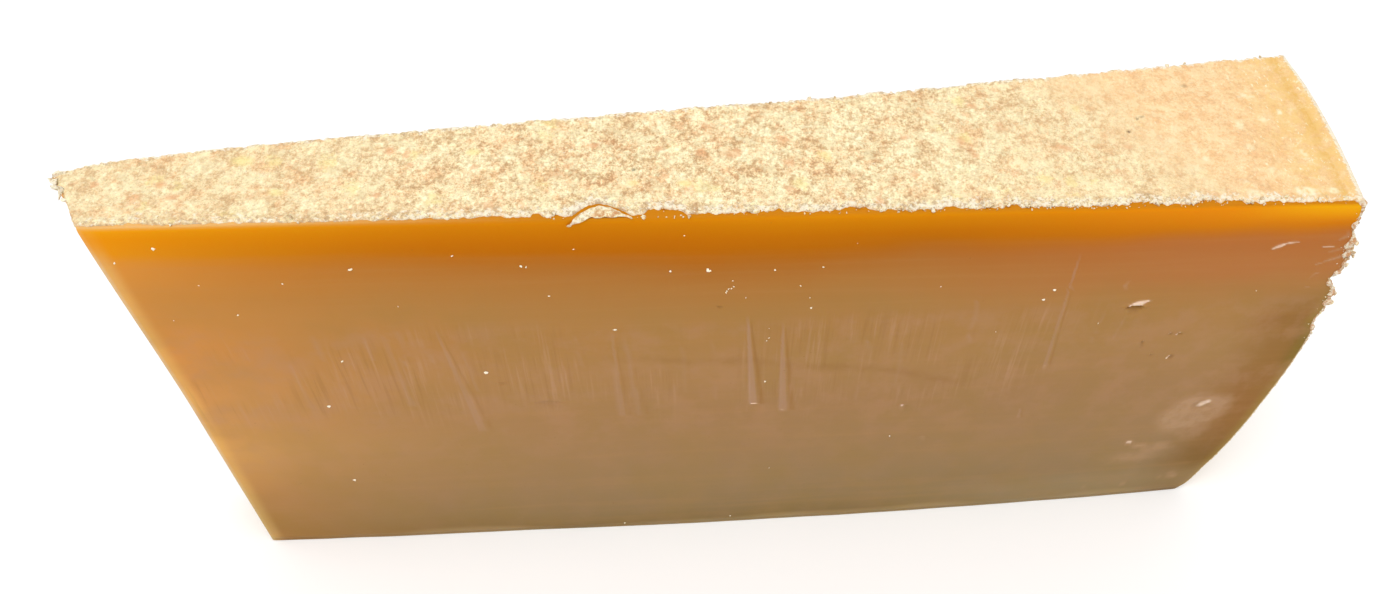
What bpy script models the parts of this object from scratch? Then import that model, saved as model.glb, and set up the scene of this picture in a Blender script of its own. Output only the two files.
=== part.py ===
"""A wedge of alpine cheese, cut from a large wheel and standing on the wheel's lower rind.

Two knife cuts that run towards the wheel's middle are the long front and back faces. A third
cut, on the slant, took the tip off at -X. The wheel's bulging rim is the +X end, and its upper
rind is the narrow top face. The wedge is one solid.

Metres, +Z up. The origin is the middle of the bounding box's lowest face, +X runs along the
front face towards the rim, and +Y runs from the front face to the back one.
"""

import math

import bmesh
import bpy
from mathutils import Vector, noise

# Driving dimensions
HEIGHT = 0.100  # the wheel's height, from its lower rind to its upper rind
FRONT_LENGTH = 0.207  # the front face's lower edge, from the tip's cut to the rim
TIP_DEPTH = 0.014  # from front to back beside the tip's cut
RIM_DEPTH = 0.040  # from front to back at the rim
TIP_SLANT = 0.0065  # how far the tip's cut leans out towards -X on its way to the back face

# The wheel's rim
RIM_BULGE = 0.0068  # how far the rim stands out past its upper and lower edges
BULGE_LEVEL = 0.52  # where on the height the rim stands out most, as a share
RIM_ARC = 0.0010  # how far the rim's middle stands out past its two cut ends
RIM_TOP_ROUND = 0.0008  # rounding of the rim's upper edge
RIM_FOOT_ROUND = 0.0022  # rounding of the rim's lower edge

# Unevenness of the surfaces, each the deepest dip from the plain form
CUT_DIP = 0.0007  # of the knife cuts
CUT_WAVELENGTH = 0.055
RIND_DIP = 0.0005  # of the upper rind and the rim
RIND_WAVELENGTH = 0.018
CRUMBLE_DIP = 0.0014  # of the rim's crumbled front edge
CRUMBLE_WAVELENGTH = 0.009
CRUMBLE_LEVEL = 0.62  # the height above which that edge has crumbled, as a share
CRUMBLE_DEPTH = 0.25  # how far across the rim the crumbling reaches, as a share

# Slices along each axis
LENGTH_SLICES = 46
DEPTH_SLICES = 8
HEIGHT_SLICES = 21

PASTE_COLOUR = (0.50, 0.27, 0.09, 1.0)
PASTE_ROUGHNESS = 0.45


def dip(across_1, across_2, wavelength, layer):
    """A smooth unevenness from 0 to 1 at one place on a surface. Each layer has its own."""
    value = noise.noise(Vector((across_1 / wavelength, across_2 / wavelength, 7.3 * layer)))
    return 0.5 + 0.5 * max(-1.0, min(1.0, value))


def rim_bulge(up):
    """How far the rim stands out at one level, from 0 at its edges. up runs from 0 to 1."""
    if up > BULGE_LEVEL:
        share = (up - BULGE_LEVEL) / (1 - BULGE_LEVEL)
    else:
        share = (BULGE_LEVEL - up) / BULGE_LEVEL
    return RIM_BULGE * (1 - share**2)


def crumble(across, up, z):
    """How far the rim's front edge has crumbled away at one place."""
    if across > CRUMBLE_DEPTH or up < CRUMBLE_LEVEL:
        return 0.0
    from_edge = 1 - across / CRUMBLE_DEPTH
    from_level = math.sin(math.pi * (up - CRUMBLE_LEVEL) / (1 - CRUMBLE_LEVEL))
    return CRUMBLE_DIP * from_edge * from_level * dip(z, 0.0, CRUMBLE_WAVELENGTH, 5)


def wedge_point(box_point):
    """Where a point of the straight block lies on the wedge."""
    along = box_point.x / FRONT_LENGTH
    across = box_point.y / RIM_DEPTH
    up = box_point.z / HEIGHT
    z = box_point.z

    tip_x = -TIP_SLANT * across
    tip_x += CUT_DIP * math.sin(math.pi * across) * dip(across * TIP_DEPTH, z, CUT_WAVELENGTH, 1)
    rim_x = FRONT_LENGTH + rim_bulge(up) + RIM_ARC * math.sin(math.pi * across)
    rim_x -= RIND_DIP * dip(across * RIM_DEPTH, z, RIND_WAVELENGTH, 2) + crumble(across, up, z)
    x = tip_x + (rim_x - tip_x) * along

    away_from_ends = math.sin(math.pi * along)
    front_y = CUT_DIP * away_from_ends * dip(x, z, CUT_WAVELENGTH, 3)
    back_y = TIP_DEPTH + (RIM_DEPTH - TIP_DEPTH) * along
    back_y -= CUT_DIP * away_from_ends * dip(x, z, CUT_WAVELENGTH, 4)
    y = front_y + (back_y - front_y) * across

    rind_dip = RIND_DIP * dip(x, y, RIND_WAVELENGTH, 6)
    return Vector((x, y, z - rind_dip * up))


def round_edge(mesh, z, radius, segments):
    """Rounds the block's edge that runs from front to back at the rim, at one height."""
    edges = [
        edge
        for edge in mesh.edges
        if all(abs(v.co.x - FRONT_LENGTH) < 1e-6 and abs(v.co.z - z) < 1e-6 for v in edge.verts)
    ]
    bmesh.ops.bevel(mesh, geom=edges, offset=radius, segments=segments, profile=0.5, affect="EDGES")


def slice_block(mesh, normal, length, slices):
    """Cuts the block's faces by evenly spaced planes across one axis."""
    for i in range(1, slices):
        bmesh.ops.bisect_plane(
            mesh,
            geom=mesh.verts[:] + mesh.edges[:] + mesh.faces[:],
            plane_co=normal * (length * i / slices),
            plane_no=normal,
            dist=1e-7,
        )


def straight_block():
    """The block that the wedge is shaped from, with its front lower tip corner at the origin."""
    mesh = bmesh.new()
    bmesh.ops.create_cube(mesh, size=1.0)
    for v in mesh.verts:
        v.co = Vector(
            (
                (v.co.x + 0.5) * FRONT_LENGTH,
                (v.co.y + 0.5) * RIM_DEPTH,
                (v.co.z + 0.5) * HEIGHT,
            )
        )
    round_edge(mesh, 0.0, RIM_FOOT_ROUND, 3)
    round_edge(mesh, HEIGHT, RIM_TOP_ROUND, 2)
    slice_block(mesh, Vector((1, 0, 0)), FRONT_LENGTH, LENGTH_SLICES)
    slice_block(mesh, Vector((0, 1, 0)), RIM_DEPTH, DEPTH_SLICES)
    slice_block(mesh, Vector((0, 0, 1)), HEIGHT, HEIGHT_SLICES)
    return mesh


def cheese_wedge(collection):
    """The whole wedge as one closed mesh, centred over the origin."""
    mesh = straight_block()
    for v in mesh.verts:
        v.co = wedge_point(v.co)
    xs = [v.co.x for v in mesh.verts]
    ys = [v.co.y for v in mesh.verts]
    middle = Vector(((min(xs) + max(xs)) / 2, (min(ys) + max(ys)) / 2, 0.0))
    bmesh.ops.translate(mesh, vec=-middle, verts=mesh.verts)
    bmesh.ops.triangulate(mesh, faces=mesh.faces)
    bmesh.ops.recalc_face_normals(mesh, faces=mesh.faces)

    data = bpy.data.meshes.new("cheese_wedge")
    mesh.to_mesh(data)
    mesh.free()
    data.shade_smooth()
    data.set_sharp_from_angle(angle=math.radians(40))
    data.materials.append(paste_material())
    wedge = bpy.data.objects.new("cheese_wedge", data)
    collection.objects.link(wedge)
    return wedge


def paste_material():
    """Pale brown, waxy cheese paste."""
    material = bpy.data.materials.new("cheese_paste")
    material.use_nodes = True
    surface = material.node_tree.nodes["Principled BSDF"]
    surface.inputs["Base Color"].default_value = PASTE_COLOUR
    surface.inputs["Roughness"].default_value = PASTE_ROUGHNESS
    surface.inputs["Metallic"].default_value = 0.0
    return material


def main():
    for old in list(bpy.data.objects):
        bpy.data.objects.remove(old, do_unlink=True)
    collection = bpy.data.collections.new("alpine_cheese")
    bpy.context.scene.collection.children.link(collection)
    cheese_wedge(collection)


main()
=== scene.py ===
"""Looks of the alpine cheese wedge: its waxy cut paste, its granular rind, crumbs and crystals.

Lengths are in millimetres, in the frame's axes, from the wedge's front lower tip corner. They
turn into metres where a mesh, a texture or the camera is made.
"""

import itertools
import math

import bmesh
import bpy
import numpy as np
from mathutils import Matrix, Vector


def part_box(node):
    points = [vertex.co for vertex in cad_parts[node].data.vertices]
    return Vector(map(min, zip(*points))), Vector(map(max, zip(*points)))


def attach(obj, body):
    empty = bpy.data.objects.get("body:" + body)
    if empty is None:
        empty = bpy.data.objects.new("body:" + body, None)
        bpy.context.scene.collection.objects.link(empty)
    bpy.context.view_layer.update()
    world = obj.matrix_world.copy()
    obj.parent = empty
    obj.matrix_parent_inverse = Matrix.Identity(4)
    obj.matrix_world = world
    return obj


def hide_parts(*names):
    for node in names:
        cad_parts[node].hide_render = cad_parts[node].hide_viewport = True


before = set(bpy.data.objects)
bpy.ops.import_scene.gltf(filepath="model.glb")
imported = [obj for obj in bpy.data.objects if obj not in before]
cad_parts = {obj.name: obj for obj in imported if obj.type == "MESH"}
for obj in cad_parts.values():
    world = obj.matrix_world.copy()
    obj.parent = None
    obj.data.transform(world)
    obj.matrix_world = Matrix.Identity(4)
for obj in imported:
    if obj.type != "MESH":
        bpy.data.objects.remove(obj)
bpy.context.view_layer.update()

MM = 0.001

# The wedge's plain form, as the CAD has it
HEIGHT = 100.0
FRONT_LENGTH = 207.0
TIP_DEPTH, RIM_DEPTH = 14.0, 40.0
TIP_SLANT = 6.5
RIM_BULGE = 6.8
BULGE_LEVEL = 0.52
RIM_ARC = 1.0
BOX_LOW = np.array(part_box("cheese_wedge")[0]) / MM
CORNER = np.array((BOX_LOW[0] + TIP_SLANT, BOX_LOW[1], 0.0))  # where the lengths here start
TIP_LEAN = 0.9  # how far the tip's cut leans out at the top, as cuts by hand do
FOOT_BELLY = 1.8  # how far the front face's foot stands forward at mid length

# How far the paste lies inside the plain form, and the roundings of the form's edges
TOP_INSET, FOOT_INSET, RIM_INSET = 0.35, 0.3, 0.1
TIP_ROUND, RIM_TOP_ROUND, RIM_FOOT_ROUND, CUT_ROUND = 0.35, 0.9, 2.2, 0.22
LEDGE = HEIGHT - TOP_INSET  # the height of the paste's flat top, which the rind lies on

# The walk round the paste starts at the tip's cut. The walk over the rind starts there too.
BACK_START = FRONT_LENGTH + RIM_DEPTH
BACK_END = BACK_START + FRONT_LENGTH
FOOT_START = FRONT_LENGTH + LEDGE - FOOT_INSET
FOOT_END = FOOT_START + FRONT_LENGTH
RIND_WRAP = 0.5  # how far the rind reaches past the tip's cut

# Where the rim's front edge is worn back: z, half height, how far
RIM_WEAR = ((93.0, 2.4, 0.7), (78.6, 2.3, 1.9), (66.0, 2.6, 1.0), (38.0, 9.0, 0.2), (9.0, 5.0, 0.3))
# Where the rind is torn onto the front face at the rim: z, half height, how far
RIM_TEARS = (
    (94.2, 0.9, 0.8), (88.8, 1.2, 1.5), (86.2, 1.0, 1.2), (83.6, 0.7, 0.6), (80.9, 0.8, 0.9),
    (77.6, 0.7, 0.5), (74.3, 0.9, 0.9), (71.8, 0.8, 1.0), (63.6, 0.7, 0.6),
)

# Grid steps of the fine meshes. Marks, eyes and strokes past these strengths get the fine ones.
FRONT_STEP, FRONT_FINE_STEP = 0.8, 0.24
ROW_STEP, ROW_FINE_STEP = 1.7, 0.36
BACK_STEP, TIP_STEP, RIM_STEP = 2.4, 0.7, 2.5
RIND_STEP, RIND_FINE_STEP = 0.28, 0.17
RIND_RIM_STEP, RIND_FOOT_STEP = 0.36, 1.4
RIND_ROWS = 106
LEDGE_SHARES = (0.5, 0.75, 0.88, 0.94, 0.98)  # rings of the paste's flat top, under the rind
FINE_MARK, FINE_EYE, FINE_STROKE = 0.42, 0.24, 0.55
FINE_FROM = 188.0  # the front is fine from here to the rim

# How many crumbs and crystals are scattered, besides the listed ones
CLUSTERED_CRUMBS, SMALL_CRUMBS, RIM_SCATTER, BACK_CRUMBS = 210, 90, 130, 40
BACK_CRYSTALS, TIP_CRYSTALS = 34, 5

SEED = 14


# --- Numbers ---


def soft_ramp(value, width):
    """0 below zero and the value itself above it, with a bend of one width between."""
    return 0.5 * (value + np.sqrt(value * value + width * width))


def ease(value, start, end):
    """An even change from 0 at start to 1 at end. It falls with the value if end is lower."""
    share = np.clip((value - start) / (end - start), 0.0, 1.0)
    return share * share * (3 - 2 * share)


def window(value, start, full, fading, end):
    """1 from full to fading, with an even rise before and an even fall after."""
    return ease(value, start, full) * ease(value, end, fading)


def bell(value, width):
    """1 at zero, falling away to 0 within about two widths on both sides."""
    return np.exp(-((value / width) ** 2))


def points_at(x, y, z):
    """Points from coordinates, each an array or a number. Noise along an edge needs only X."""
    return np.stack(np.broadcast_arrays(x, y, z), axis=-1)


def lattice(cells, seed):
    """Three numbers from -1 to 1 for each whole-number cell, the same on each run."""
    mixed = cells.astype(np.uint32)
    mixed = mixed[..., 0] * 374761393 + mixed[..., 1] * 668265263 + mixed[..., 2] * 2246822519
    parts = []
    for i in range(3):
        part = mixed + np.uint32(3266489917 * (3 * seed + i + 1) % 2**32)
        part = (part ^ (part >> 15)) * np.uint32(2246822519)
        part = (part ^ (part >> 13)) * np.uint32(3266489917)
        parts.append((part ^ (part >> 16)) / 2**31 - 1)
    return np.stack(parts, axis=-1)


def noise(points, size, seed):
    """Smooth unevenness from about -1 to 1 at each point, with bumps of one size."""
    cells = np.floor(points / size).astype(np.int64)
    inside = points / size - cells
    fade = inside**3 * (inside * (inside * 6 - 15) + 10)
    total = np.zeros(points.shape[:-1])
    for corner in itertools.product((0, 1), repeat=3):
        slope = (lattice(cells + corner, seed) * (inside - corner)).sum(axis=-1)
        total += slope * np.prod(np.where(corner, fade, 1 - fade), axis=-1)
    return 1.5 * total


def layered_noise(points, size, seed, layers=3):
    """Noise of one size with finer and weaker noise on it, from about -1 to 1."""
    total = sum(0.5**i * noise(points, size / 2**i, seed + 11 * i) for i in range(layers))
    return total / (2 - 0.5 ** (layers - 1))


def grains(points, size, seed):
    """Rounded grains packed side by side: 1 at a grain's middle and 0 between grains."""
    cells = np.floor(points / size).astype(np.int64)
    inside = points / size - cells
    nearest = np.full(points.shape[:-1], 9.0)
    for step in itertools.product((-1, 0, 1), repeat=3):
        middle = np.array(step) + 0.5 + 0.45 * lattice(cells + step, seed)
        nearest = np.minimum(nearest, ((inside - middle) ** 2).sum(axis=-1))
    return 1 - np.clip(np.sqrt(nearest), 0, 1)


def span(middle, reach):
    return middle - reach, middle + reach


def graded(start, end, step, fine_step=0.0, fine_spans=()):
    """Places from start to end, closer together inside the fine spans."""
    places = [start]
    while places[-1] < end:
        fine = any(low - step < places[-1] < high for low, high in fine_spans)
        places.append(places[-1] + (fine_step if fine else step))
    return start + (np.array(places) - start) * (end - start) / (places[-1] - start)


# --- The plain form. across and along are shares of the depth and the length ---


def rim_wear(across, z):
    """How far the rim's front edge is worn back at one place."""
    worn = sum(depth * bell(z - level, half_height) for level, half_height, depth in RIM_WEAR)
    return worn * ease(across * RIM_DEPTH, 7.0, 0.5)


def rim_x(across, z):
    """Where the rim's paste ends along X."""
    up = z / HEIGHT
    share = np.where(up > BULGE_LEVEL, (up - BULGE_LEVEL) / (1 - BULGE_LEVEL), 1 - up / BULGE_LEVEL)
    bulge = RIM_BULGE * (1 - np.clip(share, 0, 1) ** 2)
    arc = RIM_ARC * np.sin(np.pi * np.clip(across, 0, 1))
    return FRONT_LENGTH - RIM_INSET + bulge + arc - rim_wear(across, z)


def tip_x(across, z):
    """Where the tip's slanted cut lies along X."""
    return -TIP_SLANT * across - TIP_LEAN * ease(z, 50, HEIGHT)


def length_place(along, across, z):
    """X at one share of the length, between the tip's cut and the rim."""
    tip = tip_x(across, z)
    return tip + (rim_x(across, z) - tip) * along


def depth_at(x):
    """How deep the wedge is from front to back, at one place along it."""
    return TIP_DEPTH + (RIM_DEPTH - TIP_DEPTH) * x / FRONT_LENGTH


def drawn_in(x, across, z):
    """How far the hollow back face and its worn corner at the tip lie in from their plane."""
    worn = ease(x, 1.5, -TIP_SLANT) + ease(x, 26, -TIP_SLANT)
    hollow = 0.8 * bell(x - 125, 45) * across
    return hollow + worn * ease(across, 0.4, 1.0) * ease(z, 80, 97)


def rounded_off(along, z):
    """How far the rim's paste stays back to lie inside the rind's rounded corners."""
    at_top = (RIM_TOP_ROUND / 2) ** 2 / np.maximum(LEDGE - z, 0.01)
    at_foot = (RIM_FOOT_ROUND / 2) ** 2 / np.maximum(z - FOOT_INSET, 0.01)
    inset = np.minimum(at_top, 0.8) + np.minimum(at_foot, 1.8)
    return inset * ease(along, 0.985, 0.999)


def belly(x, across, z):
    """How far the front face stands forward near its foot, fading away towards the back."""
    along = np.sin(np.pi * np.clip(x / FRONT_LENGTH, 0, 1) ** 1.25) ** 0.7
    return FOOT_BELLY * along * ease(HEIGHT - z, 45, HEIGHT) * np.clip(1 - across, 0, 1)


def outward(grid):
    """Unit normals of a grid of points, on the side from which its axes turn anticlockwise."""
    normals = np.cross(np.gradient(grid, axis=0), np.gradient(grid, axis=1))
    return normals / np.linalg.norm(normals, axis=-1, keepdims=True)


# --- Marks on the cut faces and the rind ---

# Knife marks on the front: x and z of the upper end, x and z of the lower end, width, strength
FRONT_MARKS = (
    (99.7, 73.4, 101.6, 45.0, 0.95, 0.9), (106.2, 70.6, 107.6, 42.4, 1.0, 0.8),
    (158.1, 88.0, 159.5, 54.0, 0.5, 0.6), (141.6, 77.0, 142.6, 57.0, 0.3, 0.4),
    (157.7, 39.2, 157.9, 35.8, 0.45, 0.45), (45.8, 72.6, 49.2, 40.0, 0.9, 0.5),
    (36.9, 71.4, 38.0, 49.0, 0.62, 0.4), (39.5, 72.4, 39.1, 62.0, 0.25, 0.4),
    (34.1, 71.4, 33.9, 64.0, 0.35, 0.35), (25.5, 72.0, 25.4, 58.0, 0.35, 0.4),
    (20.2, 70.2, 20.4, 48.0, 0.8, 0.3), (14.7, 63.0, 15.0, 51.0, 0.6, 0.28),
    (49.2, 66.4, 50.2, 54.0, 0.5, 0.32), (42.5, 69.6, 44.6, 61.0, 0.4, 0.32),
    (75.6, 69.4, 76.1, 43.0, 0.7, 0.45), (77.6, 69.0, 79.4, 43.0, 0.8, 0.4),
    (69.4, 69.0, 69.8, 60.0, 0.5, 0.25), (88.0, 66.0, 88.4, 50.0, 0.6, 0.22),
    (93.6, 67.0, 94.0, 47.0, 0.4, 0.22), (122.6, 68.0, 122.7, 57.0, 0.3, 0.35),
    (121.8, 54.0, 122.3, 45.0, 0.35, 0.3), (129.4, 66.0, 129.8, 50.0, 0.4, 0.25),
    (167.6, 72.0, 166.8, 58.0, 0.3, 0.25), (171.9, 70.0, 171.4, 62.0, 0.25, 0.25),
)
# Small eyes on the front: x, z, half width, half height, depth, which also sets their painted
# shade, height of the lip above
FRONT_EYES = (
    (172.9, 72.2, 1.9, 0.9, 0.8, 0.3), (184.9, 63.2, 0.55, 0.6, 0.26, 0.12),
    (183.0, 63.3, 0.4, 0.5, 0.25, 0.1), (185.6, 55.3, 0.65, 0.9, 0.28, 0.14),
    (181.0, 56.3, 0.35, 0.4, 0.25, 0.08), (178.0, 60.7, 0.4, 0.4, 0.3, 0.08),
    (132.4, 42.1, 0.6, 0.8, 0.2, 0.12), (21.6, 24.0, 0.6, 0.9, 0.1, 0.1),
    (54.7, 55.3, 0.6, 0.6, 0.2, 0.06), (62.6, 48.4, 2.4, 0.9, 0.22, 0.05),
    (198.3, 36.9, 2.4, 1.8, 0.22, 0.05), (137.8, 30.2, 0.7, 0.7, 0.15, 0.08),
    (94.6, 76.0, 0.45, 0.4, 0.25, 0.08),
)
# Fat smears on the front, whitish near full strength where a highlight is painted on them:
# x, z, half width, half height, strength, then softness and lean if they aren't 0.8 and 0
FRONT_SMEARS = (
    (197.6, 34.0, 9.2, 9.0, 0.54, 0.36, 0.22), (200.0, 27.0, 5.6, 4.2, 0.34, 0.5),
    (188.5, 17.2, 10.5, 4.4, 0.5, 0.9, 0.1), (193.5, 20.4, 5.2, 3.0, 0.46, 0.6, 0.15),
    (199.0, 37.7, 3.0, 2.6, 1.0, 0.9, 0.4), (186.1, 23.8, 1.5, 1.4, 0.9, 0.8, 0.1),
    (188.9, 22.4, 3.0, 1.5, 0.55, 0.6, -0.25), (201.3, 7.4, 2.0, 1.6, 0.85, 0.8, -0.2),
    (198.5, 6.3, 1.4, 1.1, 0.4, 0.7), (190.0, 5.4, 1.2, 0.8, 0.45, 0.7),
    (180.2, 5.8, 1.2, 0.9, 0.35, 0.7), (192.6, 30.6, 1.4, 1.1, 0.5, 0.7),
    (137.9, 30.4, 0.8, 0.7, 0.5, 0.7),
)
# Sharp, light strokes on the front: pale streaks beside the rim, and painted highlights that
# glint in eyes and at the lower ends of knife marks. x and z of one end, x and z of the other,
# half width, strength
FRONT_STREAKS_AND_GLINTS = (
    (194.5, 88.1, 196.5, 89.4, 0.8, 0.9), (196.4, 89.5, 198.9, 89.8, 0.5, 0.8),
    (204.1, 88.3, 206.3, 88.4, 0.36, 0.85), (206.2, 84.2, 209.6, 85.8, 0.5, 0.6),
    (206.6, 90.2, 208.6, 92.0, 0.6, 0.45), (206.0, 86.8, 208.8, 88.0, 0.45, 0.4),
    (204.8, 83.4, 206.0, 83.8, 0.3, 0.6), (205.6, 80.6, 206.6, 81.0, 0.3, 0.6),
    (205.5, 76.6, 206.4, 76.9, 0.3, 0.5), (171.7, 73.0, 174.9, 74.1, 1.0, 1.0),
    (172.6, 72.3, 173.8, 72.7, 0.5, 0.9), (168.3, 78.5, 169.3, 78.9, 0.3, 0.5),
    (184.2, 63.0, 184.9, 63.8, 0.42, 1.0), (182.5, 63.2, 182.9, 63.7, 0.32, 0.8),
    (184.8, 54.8, 185.1, 56.1, 0.46, 1.0), (180.8, 56.3, 181.0, 56.6, 0.28, 0.7),
    (131.6, 41.6, 132.0, 42.9, 0.46, 1.0), (101.1, 45.3, 102.2, 45.2, 0.3, 1.0),
    (107.0, 42.7, 108.1, 42.6, 0.3, 0.75), (159.3, 54.2, 159.7, 54.0, 0.3, 0.6),
)
# Crystals on the front: x, z, radius
FRONT_CRYSTALS = (
    (8.3, 94.8, 0.24), (1.7, 91.8, 0.18), (5.5, 77.3, 0.18), (24.4, 85.7, 0.22), (35.5, 88.8, 0.32),
    (28.7, 64.2, 0.18), (15.6, 78.1, 0.15), (51.7, 91.6, 0.17), (62.1, 88.7, 0.34),
    (62.9, 88.4, 0.22), (76.2, 70.5, 0.26), (52.5, 59.2, 0.3), (65.8, 80.7, 0.16),
    (86.2, 86.4, 0.18), (70.9, 92.6, 0.17), (92.6, 86.4, 0.3), (93.0, 86.1, 0.22),
    (96.2, 80.9, 0.28), (97.0, 81.7, 0.2), (95.7, 80.0, 0.2), (95.9, 80.5, 0.17),
    (96.6, 81.2, 0.16), (96.8, 83.2, 0.13), (103.8, 66.3, 0.17), (103.4, 65.5, 0.14),
    (103.7, 69.3, 0.13), (103.6, 52.4, 0.28), (111.0, 75.1, 0.18), (104.0, 85.9, 0.14),
    (108.7, 81.4, 0.13), (110.6, 78.0, 0.12), (99.2, 78.5, 0.12), (112.2, 86.4, 0.16),
    (155.7, 78.1, 0.24), (154.2, 75.5, 0.22), (166.9, 67.6, 0.2), (178.2, 60.8, 0.16),
    (22.0, 24.4, 0.44), (23.3, 50.4, 0.24), (105.8, 21.8, 0.18), (74.4, 1.8, 0.2),
    (97.8, 2.6, 0.18), (130.7, 31.6, 0.16), (117.6, 92.3, 0.12), (88.7, 95.2, 0.12),
    (134.0, 80.0, 0.11), (41.0, 79.0, 0.11), (147.0, 66.0, 0.11), (12.0, 86.0, 0.12),
    (196.0, 76.0, 0.12),
)

# Where the rind has broken away from the front edge: x, half width, how far back
NOTCHES = (
    (85.9, 4.1, 1.1), (8.6, 1.9, 0.5), (40.0, 1.4, 0.5), (50.0, 1.2, 0.5), (66.2, 1.2, 0.7),
    (60.0, 2.5, 0.4), (104.0, 1.5, 0.6), (117.0, 3.2, 0.8), (133.0, 1.6, 0.5), (143.5, 1.3, 0.7),
    (166.5, 3.0, 0.7), (178.2, 2.2, 0.9), (183.0, 2.6, 0.6), (190.5, 1.6, 0.6),
)
# The arched flake that has lifted from the front edge, and the crack round it
FLAKE_LEFT, FLAKE_TOP, FLAKE_RIGHT = 71.4, 76.2, 81.4
FLAKE_REACH = 3.1
CRACK_WIDTH = 0.75

# The waxy stretch of the rind beside the rim, whose border runs on the slant
WAXY_FROM, WAXY_TO = 170.0, 193.0
WAXY_SLANT = 0.68
RIM_LINE_FROM_EDGE = 3.5

# Crumbs along the front edge of the notch beside the flake: x, radius
NOTCH_CRUMBS = ((82.4, 0.42), (84.6, 0.16), (86.0, 0.12), (87.2, 0.2), (88.6, 0.14), (89.6, 0.36))
# Crumbs that stand out at the rim's front edge: z, how far out past the rim, radius
RIM_CRUMBS = (
    (97.4, 0.3, 0.45), (90.0, 0.3, 0.45), (88.9, 0.9, 0.7), (88.0, 0.3, 0.55), (86.6, 0.7, 0.45),
    (85.6, 1.0, 0.65), (84.0, 0.6, 0.5), (82.6, 0.4, 0.45), (81.2, 0.7, 0.45), (77.2, 0.2, 0.4),
    (74.2, 0.7, 0.55), (72.4, 0.2, 0.4), (70.9, 0.6, 0.6), (69.6, 0.2, 0.35), (63.4, 0.4, 0.4),
    (61.0, 0.4, 0.4),
)
# Crumbs that stand out at the tip's upper edge: x, y, radius
TIP_CRUMBS = (
    (-7.0, 10.4, 0.75), (-6.3, 11.4, 0.85), (-6.3, 9.6, 0.8), (-5.5, 8.4, 0.7), (-4.9, 7.4, 0.75),
    (-3.8, 6.2, 0.55), (-2.6, 4.6, 0.4),
)

# Spots on the rind by the number that they set: pale scuffs, yellow ones, reddish ones and dark
# dots. Each one's numbers are in the same order as a smear's, with y for z
RIND_SPOTS = {
    "scuffed": (
        (181.1, 11.3, 0.9, 0.8, 1.0, 0.6), (180.0, 14.2, 1.0, 2.8, 0.5),
        (176.0, 16.1, 2.0, 0.9, 0.6), (166.8, 11.1, 1.6, 1.2, 0.8, 0.7),
        (177.7, 19.2, 1.6, 1.1, 0.5), (190.4, 20.1, 1.3, 1.6, 0.8, 0.6),
        (194.5, 27.7, 2.6, 0.8, 0.8, 0.7), (165.3, 26.8, 1.0, 1.0, 0.7, 0.7),
        (171.5, 13.3, 4.4, 0.8, 0.5, 0.8, -0.25), (181.8, 32.3, 1.3, 1.3, 0.5),
        (177.8, 9.2, 2.6, 1.3, 0.7), (195.6, 21.4, 1.4, 0.9, 0.7, 0.6),
        (199.5, 23.5, 1.0, 0.8, 0.9, 0.6), (190.4, 14.4, 1.1, 1.3, 0.6),
        (200.1, 12.4, 0.9, 1.8, 0.7, 0.6), (192.6, 8.4, 1.5, 1.1, 0.6, 0.7),
        (197.3, 2.8, 3.4, 1.2, 1.0, 0.6), (202.5, 2.7, 2.0, 1.0, 1.0, 0.6),
        (187.5, 2.6, 2.0, 1.2, 1.0, 0.6), (186.2, 5.8, 1.3, 0.8, 0.6, 0.7),
        (206.2, 32.0, 0.9, 0.7, 1.0, 0.5),
    ),
    "yellowed": (
        (19.9, 13.6, 2.4, 1.8, 1.0), (26.1, 6.8, 1.8, 1.2, 1.0), (55.0, 15.0, 1.6, 1.1, 1.0, 0.7),
        (89.2, 7.4, 2.0, 1.4, 1.0), (94.0, 6.0, 1.6, 1.2, 0.7), (80.6, 7.6, 1.4, 1.2, 0.7),
        (160.4, 24.7, 1.2, 1.4, 0.7),
    ),
    "reddened": (
        (8.9, 8.7, 1.3, 1.0, 1.0), (11.0, 6.1, 1.6, 0.9, 0.8), (42.0, 15.6, 1.4, 1.3, 1.0),
        (45.5, 12.4, 1.0, 0.8, 1.0), (68.4, 9.6, 1.8, 1.1, 0.6), (74.1, 16.6, 1.6, 0.9, 0.8),
        (84.8, 15.5, 1.2, 0.9, 1.0), (97.0, 14.0, 2.2, 1.8, 0.6, 0.9), (106.7, 11.7, 1.2, 1.6, 0.8),
        (127.5, 17.5, 1.8, 0.9, 0.9), (137.4, 16.3, 1.2, 1.6, 0.8), (139.1, 13.1, 1.0, 1.0, 0.8),
        (141.0, 25.9, 1.8, 1.0, 0.8), (144.6, 19.5, 1.6, 1.0, 0.5),
        (155.8, 14.1, 2.4, 1.1, 0.9, 0.8, -0.3), (163.7, 29.0, 0.9, 1.8, 0.6),
        (167.3, 14.5, 1.8, 0.8, 0.8, 0.8, -0.2),
    ),
    "dotted": (
        (168.6, 18.5, 0.55, 0.5, 1.0, 0.9), (171.2, 21.9, 0.5, 0.45, 0.9, 0.9),
        (172.2, 22.4, 0.8, 0.4, 0.5, 0.9), (183.1, 30.9, 0.9, 0.7, 0.4, 0.9),
        (80.8, 10.6, 0.5, 0.5, 0.9, 0.9),
    ),
}


def draws(rng, count, *ranges):
    """Rows of random numbers, one from each range."""
    return [[rng.uniform(low, high) for low, high in ranges] for _ in range(count)]


def random_eyes(rng, count, *x_range):
    """Small eyes for a face that has none of its own listed, in the same form."""
    rows = draws(rng, count, (0.5, 1.1), x_range, (12, 88), (0.6, 1.4), (0.3, 0.6))
    return [(x, z, wide, wide * tall, depth, 0.12) for wide, x, z, tall, depth in rows]


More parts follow.
